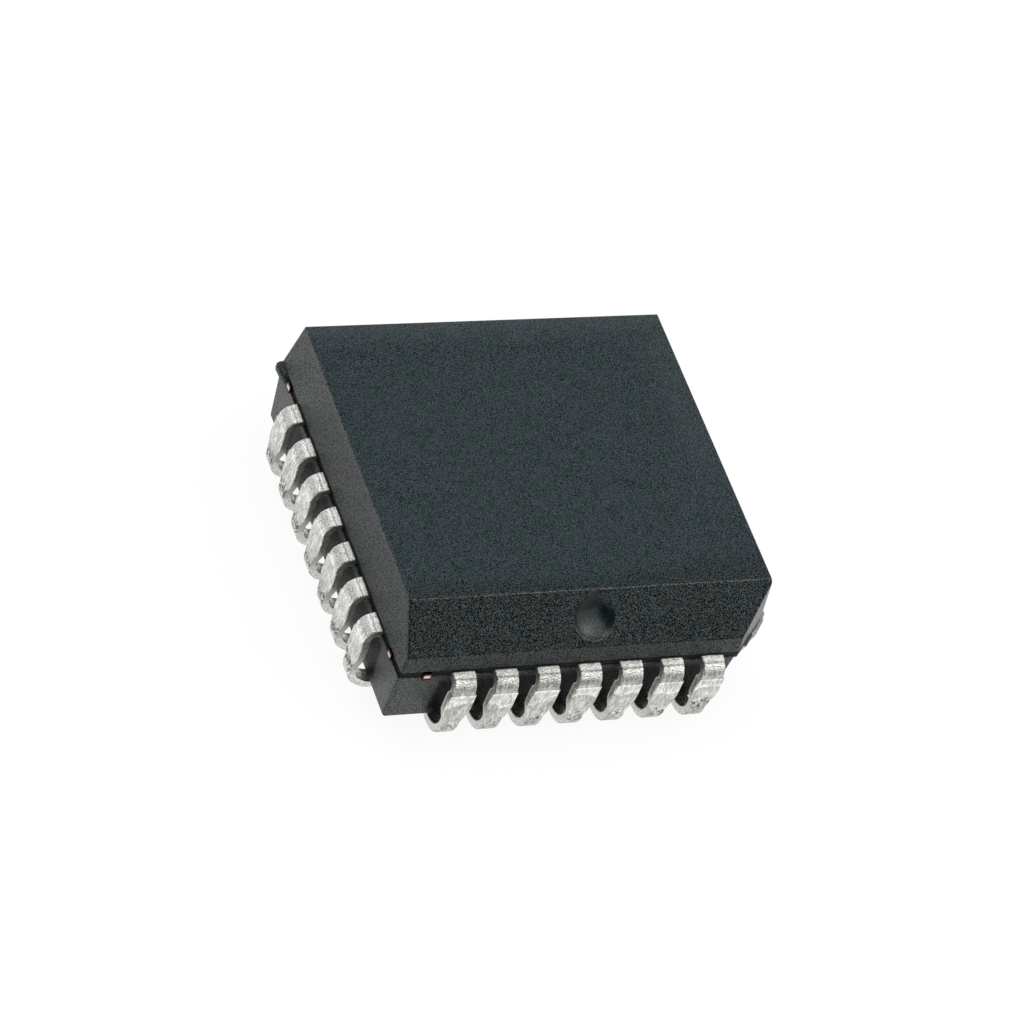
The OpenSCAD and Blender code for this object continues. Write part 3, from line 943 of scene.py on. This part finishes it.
class Epoxy(Material):
    """Black filled epoxy: fine spark-eroded grain with dark pits, and a smooth dimple."""

    def __init__(self):
        super().__init__("moulding_compound")
        coordinates = self.add("ShaderNodeTexCoord").outputs
        self.facing = self.split(coordinates["Normal"])
        self.at = self.split(coordinates["Object"])
        askew = self.stretched(coordinates["Object"], (1.0, 1.0, 1.0), GRAIN_TURN)
        self.grain = self.noise(askew, *GRAIN)
        self.specks = self.noise(askew, *SPECKS)
        self.patches = self.noise(askew, *PATCHES)
        self.rubs = self.noise(askew, *RUBS)
        self.grained = self.outside_dimple(coordinates["Object"])
        self.corner = self.index_corner()
        self.dull = self.dull_front()
        torn = self.larger(self.torn_corner(), self.shaded_fold())
        # Painted shade between the leads and on the fold, joined with the torn corner
        self.shade_and_stain = self.larger(self.behind_leads(), torn)
        rough = self.times(self.spread(self.grain, *GRAIN_ROUGH), self.grained)
        self.give(Base_Color=self.colour(), Roughness=rough, Specular_IOR_Level=self.shine())
        self.bump(self.times(self.grain, self.grained), 1.0, GRAIN_BUMP)

    def outside_dimple(self, place):
        """Share of the grain: full outside the dimple and small inside it."""
        radius = DIMPLE_D / 2 * MM
        from_dimple = self.vectors("DISTANCE", place, DIMPLE_AT * MM)["Value"]
        rim = [part * radius for part in DIMPLE_RIM]
        return self.spread(from_dimple, DIMPLE_GRAIN, 1.0, *rim)

    def by_face(self, on_top, on_bevel, elsewhere):
        """Number that differs between the top face, its bevelled side and the other faces."""
        leaning = self.window(self.facing["Y"], *BEVEL_LEAN)
        rising = self.window(self.facing["Z"], *BEVEL_RISE)
        bevel = self.spread(self.times(leaning, rising), 0.0, on_bevel - elsewhere)
        return self.plus(self.spread(self.facing["Z"], elsewhere, on_top, *LEVEL), bevel)

    def index_corner(self):
        """1 on the slanted index corner, else 0."""
        to_right = self.above(self.facing["X"], FACING_RIGHT)
        return self.times(to_right, self.below(self.facing["Y"], FACING_FRONT))

    def behind_leads(self):
        """1 on the lower half's walls between the leads, where shade is painted, else 0."""
        nearer = self.smaller(self.unsigned(self.at["X"]), self.unsigned(self.at["Y"]))
        within = self.below(nearer, metres(*LEADS_SPAN))
        return self.times(within, self.window(self.at["Z"], *metres(*PAINTED_SHADE_HEIGHT)))

    def torn_corner(self):
        """Dark speckled zone on the index corner."""
        zone = self.times(self.corner, self.window(self.at["Z"], *metres(*TORN_HEIGHT)))
        return self.times(zone, self.spread(self.specks, *TORN_SPECKS))

    def shaded_fold(self):
        """Speckled line of painted shade where the bevel meets the wall below it."""
        fold = self.window(self.at["Z"], *metres(*FOLD_HEIGHT))
        fold = self.times(fold, self.spread(self.facing["Y"], FOLD_SHADE, 0.0, *FACING_FRONT))
        return self.times(fold, self.spread(self.specks, *FOLD_SPECKS))

    def dull_front(self):
        """1 on the top's darker border beside the bevel, which is ragged and wider at the right."""
        start = self.spread(self.at["X"], *metres(*DULL_EDGE))
        ragged = self.plus(start, self.swing(self.patches, DULL_RAGGED * MM, GENTLE))
        return self.above(self.minus(ragged, self.at["Y"]), metres(*DULL_FADE))

    def pale_borders(self):
        """Amount by which the top face shines more along its back and right edges."""
        back = self.spread(self.at["Y"], 0.0, BACK_SHINE, *metres(*BACK_BORDER))
        right = self.above(self.at["X"], metres(*RIGHT_BORDER))
        right = self.times(right, self.spread(self.at["Y"], 0.0, RIGHT_SHINE, *metres(*RIGHT_BACK)))
        return self.larger(back, right)

    def rubbed_rims(self):
        """Specks along the top's rims over the bevel and the left wall, which are rubbed smooth."""
        front, left = (
            self.times(self.window(self.facing["Z"], *rim), self.below(self.facing[axis], LEANING))
            for axis, rim in (("Y", FRONT_RIM), ("X", LEFT_RIM))
        )
        return self.times(self.larger(front, left), self.above(self.rubs, RUBBED_SPECKS))

    def chipped_edge(self):
        """Specks along the upper edge of the left wall."""
        high = self.spread(self.at["Z"], 0.0, CHIPPED_WEAR, *metres(*CHIPPED_FROM))
        edge = self.times(self.below(self.facing["X"], FACING_LEFT), high)
        return self.times(edge, self.above(self.specks, CHIPPED_SPECKS))

    def colour(self):
        """Bluer on the top as painted sky reflection over random patches, plain elsewhere, shaded by the
        grain and covered by the painted shade and the torn corner.
        """
        sky_tinted = self.ramp(self.patches, *SKY_TINTED_EPOXY)
        plain = self.ramp(self.patches, *PLAIN_EPOXY)
        # Painted sky reflection: full on the top, faint on the bevel, less on the dull border
        sky_tint_share = self.times(self.by_face(*SKY_TINT_SHARE), self.spread(self.dull, 1.0, DULL_SKY_TINT))
        tint = self.blend(sky_tint_share, plain, sky_tinted)
        return self.blend(self.shade_and_stain, self.shaded(tint, self.ramp(self.grain, *GRAIN_SHADE)), SHADED_AND_STAINED)

    def shine(self):
        """Reflections that the grain's pits break up, more where the surface is worn or pale, less under
        the painted shade and the torn corner.
        """
        pits = self.times(self.spread(self.grain, *GRAIN_SHINE), self.by_face(*SHINE_CONTRAST))
        pits = self.plus(pits, self.by_face(*SHINE_LEVEL))
        change = self.minus(self.pale_borders(), self.spread(self.dull, 0.0, DULL_SHINE))
        change = self.plus(change, self.spread(self.patches, *PATCH_SHINE))
        pits = self.plus(pits, self.times(self.above(self.facing["Z"], LEVEL), change))
        worn = self.larger(self.larger(self.corner, self.chipped_edge()), self.rubbed_rims())
        pits = self.plus(pits, self.spread(worn, 0.0, WORN_SHINE))
        rougher = self.times(self.grained, self.minus(DIMPLE_SHINE, pits))
        return self.times(self.minus(DIMPLE_SHINE, rougher), self.spread(self.shade_and_stain, 1.0, SHADE_AND_STAIN_SHINE))


def parting_band_shade():
    """The same epoxy where the mould's halves meet, made dark and dull as painted shade in the band's
    recess.
    """
    m = Material("parting_band_shade")
    grain = m.noise(m.add("ShaderNodeTexCoord").outputs["Object"], *BAND_GRAIN)
    colour = m.ramp(grain, *SHADED_BAND_EPOXY)
    m.give(Base_Color=colour, Roughness=m.spread(grain, *BAND_ROUGH), Specular_IOR_Level=SHADED_BAND_SHINE)
    m.bump(grain, 0.8, BAND_BUMP)
    return m.material


# Materials of the leads

class Strip(Material):
    """Material of a lead's strip, with the places across and along it."""

    def __init__(self, name):
        super().__init__(name)
        places = self.split(self.add("ShaderNodeUVMap", uv_map=PLAIN_MAP).outputs["UV"])
        self.across = places["X"]
        self.along = places["Y"]
        self.rolled = self.add("ShaderNodeUVMap", uv_map=PATTERN_MAP).outputs["UV"]

    def pattern(self, stretch, detail, roughness, turn):
        """Noise that differs from lead to lead, finer across and along the strip by its stretch."""
        coordinates = self.stretched(self.rolled, (*stretch, 1.0), (0.0, 0.0, turn))
        return self.noise(coordinates, 1.0, detail, roughness)

    def finish(self, stops):
        """Brightness along the strip, from (length, level) stops."""
        share = self.spread(self.along, 0.0, 1.0, 0.0, STRIP_LENGTH)
        return self.grey_ramp(share, stops, STRIP_LENGTH)


class Tin(Strip):
    """Satin tin, with brightness along the strip from its finish and from painted highlights and shade.

    The bend has a fine grain from the bending tool, the leg has streaks along it and scuffs above the
    curl, and each lead differs a little from the next.
    """

    def __init__(self, name, stops, gouging):
        super().__init__(name)
        self.each = self.noise(self.rolled, *EACH_LEAD)
        self.blotches = self.pattern(*BLOTCHES)
        self.crystals = self.pattern(*CRYSTALS)
        self.wander()
        marks = self.marks()
        metal = self.gouged(self.grained(self.ramp(marks, *MARK_SHADE)), gouging)
        flat = self.spread(self.along, FLAT_DULL, 0.0, CREASE_AT - FLAT_FADE, CREASE_AT)
        rough = self.plus(self.spread(self.crystals, *TIN_ROUGH), self.times(flat, FLAT_ROUGH))
        # The stops paint highlights, reflections and shade along the strip, beside the tool's creases
        metal = self.shaded(metal, self.finish(stops))
        self.give(Base_Color=metal, Metallic=self.minus(1.0, flat), Roughness=rough)
        self.bump(self.plus(marks, self.crystals), 1.0, TIN_BUMP)

    def wander(self):
        """Shifts the finish along the strip, differently from lead to lead and across it."""
        wavy = self.pattern(*WANDER)
        for pattern, amount, onset in ((self.each, LEAD_WANDER, LEAD_WANDER_FROM),
                                       (wavy, WIDTH_WANDER, WIDTH_WANDER_FROM)):
            share = self.above(self.along, onset)
            self.along = self.plus(self.along, self.times(self.swing(pattern, amount, GENTLE), share))
        for pattern, amount in ((self.blotches, BLOTCH_WANDER), (self.each, CREASE_WANDER)):
            self.along = self.plus(self.along, self.swing(pattern, amount, GENTLE))

    def marks(self):
        """Lines across the bend and streaks along the leg."""
        bend = self.below(self.along, (BEND_END - BEND_FADE, BEND_END))
        lines = self.times(self.pattern(*LINES), bend)
        return self.plus(lines, self.times(self.pattern(*STREAKS), self.minus(1.0, bend)))

    def grained(self, metal):
        """The metal with crystals, sparkle and blotches, and with a shade for each lead."""
        pitted = self.ramp(self.crystals, *CRYSTAL_SHADE)
        metal = self.shaded(metal, pitted, self.spread(self.along, *CRYSTAL_SHARE))
        sparkling = self.shaded(metal, self.ramp(self.pattern(*SPARKLE), *SPARKLE_SHADE))
        metal = self.blend(self.spread(self.along, *SPARKLE_SHARE), metal, sparkling)
        metal = self.shaded(metal, self.ramp(self.blotches, *BLOTCH_SHADE))
        return self.shaded(metal, self.ramp(self.each, *LEAD_SHADE))

    def gouged(self, metal, gouging):
        """The metal with dark gouges above the curl."""
        scuffs = self.plus(self.pattern(*SCUFFS), self.swing(self.each, -GOUGE_SPREAD, MEDIUM))
        worn = self.ramp(scuffs, GOUGE_SHADE, CLEAN_SHADE, gouging - GOUGE_SOFT, gouging)
        return self.blend(self.window(self.along, *GOUGE_LENGTHS), metal, self.shaded(metal, worn))


def sheared_copper(name, stops, rim_level):
    """Sides of the leads, cut by the punch: duller than the rolled faces, darker near the body as
    painted shade, with a bright inner rim that is partly burnished and partly painted highlight.
    """
    m = Strip(name)
    torn = m.pattern(*SHEARED)
    metal = m.shaded(m.ramp(torn, *SHEARED_SHADE), m.finish(stops))
    rim = m.times(m.above(m.unsigned(m.across), RIM_FROM),
                  m.spread(m.along, 0.0, rim_level, BEND_END, BEND_END + RIM_FADE))
    m.give(Base_Color=m.blend(rim, metal, RIM_COLOUR), Metallic=m.spread(rim, *SIDE_METAL),
           Roughness=m.spread(torn, *SIDE_ROUGH))
    m.bump(torn, 1.0, SIDE_BUMP)
    return m.material


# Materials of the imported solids

def copper_end(m, place, copper):
    """Copper in the middle of a support bar's cut end, rusty at its rim, and epoxy black further out."""
    at = m.split(place)
    offsets = [m.unsigned(m.minus(m.unsigned(at[axis]), BAR_AT * MM)) for axis in ("X", "Y")]
    across = m.smaller(*offsets)
    up = m.unsigned(m.minus(at["Z"], BAR_Z * MM))
    index = m.times(m.above(at["X"], (0.0, MM)), m.below(at["Y"], (-MM, 0.0)))
    colour = m.blend(index, AROUND_BAR, INDEX_BAR)
    for layer, (wide, tall) in ((RUST_COLOUR, RUST), (copper, COPPER)):
        within = m.times(m.below(across, metres(wide, wide + BAR_SOFT)),
                         m.below(up, metres(tall, tall + BAR_SOFT)))
        colour = m.blend(m.times(within, m.spread(index, 1.0, 0.0)), colour, layer)
    return colour


def cad_materials():
    """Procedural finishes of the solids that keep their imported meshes."""
    for name, (base, metallic, smoothest, roughest, scale) in CAD_FINISHES.items():
        m = Material(name)
        place = m.add("ShaderNodeTexCoord").outputs["Object"]
        mottle = m.noise(place, scale, 3.0, 0.6)
        colour = m.ramp(mottle, [CAD_DARKEST * part for part in base], base, *GENTLE)
        if name == "bare_copper":
            colour = copper_end(m, place, colour)
        rough = m.spread(mottle, smoothest, roughest, *GENTLE)
        m.give(Base_Color=colour, Metallic=metallic, Roughness=rough)
        m.bump(mottle, 0.3, CAD_BUMP)
        for entry in frame["record"]["subparts"]:
            if entry["material_slot"] == name:
                node = frame["nodes"][entry["node"]]
                node.data.materials.clear()
                node.data.materials.append(m.material)


# Surroundings

def camera():
    """The photograph's camera."""
    data = bpy.data.cameras.new("camera")
    data.lens = CAMERA_LENS
    data.sensor_width = CAMERA_SENSOR
    data.clip_start, data.clip_end = CAMERA_CLIP_METRES
    cam = placed("camera", data)
    a = math.radians(CAMERA_AZIMUTH)
    e = math.radians(CAMERA_ELEVATION)
    back = Vector((math.sin(a) * math.cos(e), -math.cos(a) * math.cos(e), math.sin(e)))
    right = Vector((math.cos(a), math.sin(a), 0))
    up = back.cross(right)
    turn = Matrix((right, up, back)).transposed().to_4x4()
    turn = turn @ Matrix.Rotation(math.radians(CAMERA_ROLL), 4, "Z")
    cam.matrix_world = Matrix.Translation((CAMERA_AIM + back * CAMERA_DISTANCE) * MM) @ turn
    bpy.context.scene.camera = cam


def floor_seen(m):
    """What the camera sees: white with a faint shadow."""
    shaded = m.add("ShaderNodeBsdfDiffuse", {"Color": grey(SHADOW_DEPTH)})
    glow = m.add("ShaderNodeEmission", {"Strength": 1 - AROUND * SHADOW_DEPTH})
    return m.add("ShaderNodeAddShader", {0: shaded.outputs[0], 1: glow.outputs[0]}).outputs[0]


def floor_mirrored(m):
    """What the part reflects: white near it, dimmer further in front, and dark by the tripod."""
    place = m.add("ShaderNodeTexCoord").outputs["Object"]
    away = m.vectors("SUBTRACT", place, DIMPLE_AT * MM)[0]
    dark = m.within_cone(m.vectors("NORMALIZE", away)[0], *TRIPOD)
    fading = m.spread(m.split(away)["Y"], NEAR_FLOOR, FAR_FLOOR, *metres(*FAR_BETWEEN))
    return m.add("ShaderNodeEmission", {"Strength": m.times(dark, fading)}).outputs[0]


def floor():
    """White board that keeps a faint shadow, and shows white and the photographer in reflections."""
    bm = bmesh.new()
    bmesh.ops.create_circle(bm, cap_ends=True, segments=96, radius=FLOOR_RADIUS)
    board = new_object("floor", bm)
    m = Material("floor_paper")
    m.give(Base_Color=grey(FLOOR_PAPER), Roughness=FLOOR_ROUGH)
    reflected = m.any_ray("Is Glossy Ray", "Is Transmission Ray")
    paper = m.choice(reflected, m.shader.outputs[0], floor_mirrored(m))
    both = m.choice(m.any_ray("Is Camera Ray"), paper, floor_seen(m))
    m.link(both, m.tree.nodes["Material Output"].inputs["Surface"])
    board.data.materials.append(m.material)


def area_light(name, place, size, power):
    """Soft square lamp that faces the object. The place is in millimetres."""
    data = bpy.data.lights.new(name, "AREA")
    data.shape = "SQUARE"
    data.size = size * MM
    data.energy = power
    lamp = placed(name, data)
    lamp.location = Vector(place) * MM
    lamp.rotation_mode = "QUATERNION"
    lamp.rotation_quaternion = Vector(place).to_track_quat("Z", "Y")


def background(m, level):
    """Plain grey surroundings."""
    return m.add("ShaderNodeBackground", {"Color": grey(level)}).outputs[0]


def world():
    """White surroundings that are dimmer near the horizon and darkest where the photographer stands."""
    scene = bpy.context.scene
    scene.world = bpy.data.worlds.new("studio")
    scene.world.use_nodes = True
    m = Nodes(scene.world.node_tree)
    direction = m.add("ShaderNodeTexCoord").outputs["Generated"]
    colour = m.grey_ramp(m.split(direction)["Z"], SKY)
    for cone in (PHOTOGRAPHER, TRIPOD, SOFTBOX):
        inputs = {0: colour, "Scale": m.within_cone(direction, *cone)}
        colour = m.add("ShaderNodeVectorMath", inputs, operation="SCALE").outputs[0]
    studio = m.tree.nodes["Background"]
    m.link(colour, studio.inputs["Color"])
    reflected = m.any_ray("Is Glossy Ray", "Is Transmission Ray")
    lit = m.choice(reflected, background(m, AROUND), studio.outputs[0])
    seen = m.choice(m.any_ray("Is Camera Ray"), lit, background(m, 1.0))
    m.link(seen, m.tree.nodes["World Output"].inputs["Surface"])


bpy.context.scene.view_settings.view_transform = "Standard"
moulded_body()
leads()
cad_materials()
camera()
floor()
for lamp in LAMPS:
    area_light(*lamp)
world()
